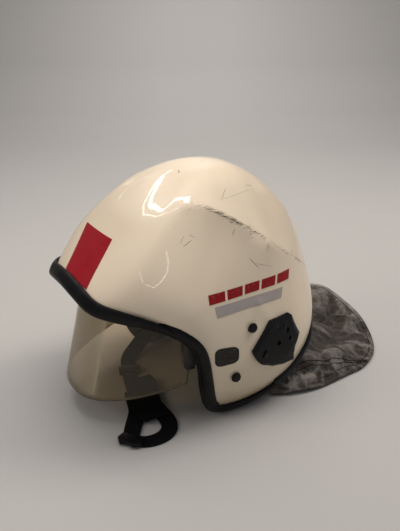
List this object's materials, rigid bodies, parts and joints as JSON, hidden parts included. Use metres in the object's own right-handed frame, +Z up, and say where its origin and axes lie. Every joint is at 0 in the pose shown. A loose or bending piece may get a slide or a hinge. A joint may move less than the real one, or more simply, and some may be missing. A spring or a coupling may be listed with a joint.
{
  "type": "fire helmet",
  "caption": "Pale jet-style fire helmet with a ridged crown, black rubber edge trim, swing-up tinted visor, faceted side plates, chin strap and a folded neck curtain.",
  "frame": {"origin": "on the table, below the middle of the shell, in the plane that halves it", "axes": "+X to the front, +Y to the wearer's left, +Z up"},
  "size_m": [0.4337, 0.2538, 0.272],
  "materials": {
    "shell_paint": "glossy, scuffed",
    "trim_rubber": "satin",
    "visor_sheet": "tinted, glossy",
    "arm_plastic": "matt",
    "screw_black": "satin",
    "bush_plastic": "matt",
    "anchor_steel": "brushed",
    "plate_plastic": "satin",
    "screw_steel": "worn",
    "liner_foam": "matt",
    "pad_cloth": "knitted",
    "band_plastic": "satin",
    "brow_leather": "soft",
    "cradle_webbing": "woven",
    "knob_plastic": "satin",
    "strap_webbing": "woven",
    "buckle_plastic": "satin",
    "curtain_cloth": "woven, coated",
    "stud_steel": "satin"
  },
  "bodies": {
    "helmet": {"shell": "shell_paint", "edge_trim": "trim_rubber", "pivot_pins": "screw_black", "pivot_bushes": "bush_plastic", "strap_bolts": "screw_black", "strap_anchor_left": "anchor_steel", "strap_anchor_right": "anchor_steel", "side_plate_left": "plate_plastic", "side_plate_right": "plate_plastic", "plate_screws": "screw_steel", "impact_liner": "liner_foam", "crown_pad": "pad_cloth", "headband": "band_plastic", "headband_hangers": "band_plastic", "brow_pad": "brow_leather", "nape_pad": "brow_leather", "cradle_strap_front": "cradle_webbing", "cradle_strap_rear": "cradle_webbing", "ratchet_housing": "band_plastic", "cheek_pad_left": "pad_cloth", "cheek_pad_right": "pad_cloth", "strap_webbing_left": "strap_webbing", "strap_webbing_right": "strap_webbing", "chin_loop": "strap_webbing", "hook_buckle": "buckle_plastic", "neck_curtain": "curtain_cloth", "curtain_studs": "stud_steel"},
    "visor": {"visor": "visor_sheet", "visor_arm_left": "arm_plastic", "visor_arm_right": "arm_plastic"},
    "size_knob": {"ratchet_knob": "knob_plastic"},
    "slider": {"strap_slider": "buckle_plastic"}
  },
  "joints": [
    {"name": "visor_hinge", "type": "hinge", "parent": "helmet", "child": "visor", "pos_m": [-0.007, 0, 0.114], "axis": [0, -1, 0], "range_deg": [0, 27]},
    {"name": "size_knob_turn", "type": "hinge", "parent": "helmet", "child": "size_knob", "pos_m": [-0.114, 0, 0.139], "axis": [1, 0, 0], "range_deg": [0, 180]},
    {"name": "slider_slide", "type": "slide", "parent": "helmet", "child": "slider", "axis": [0.2974, 0.9548, 0], "range_m": [-0.008, 0.008]}
  ]
}
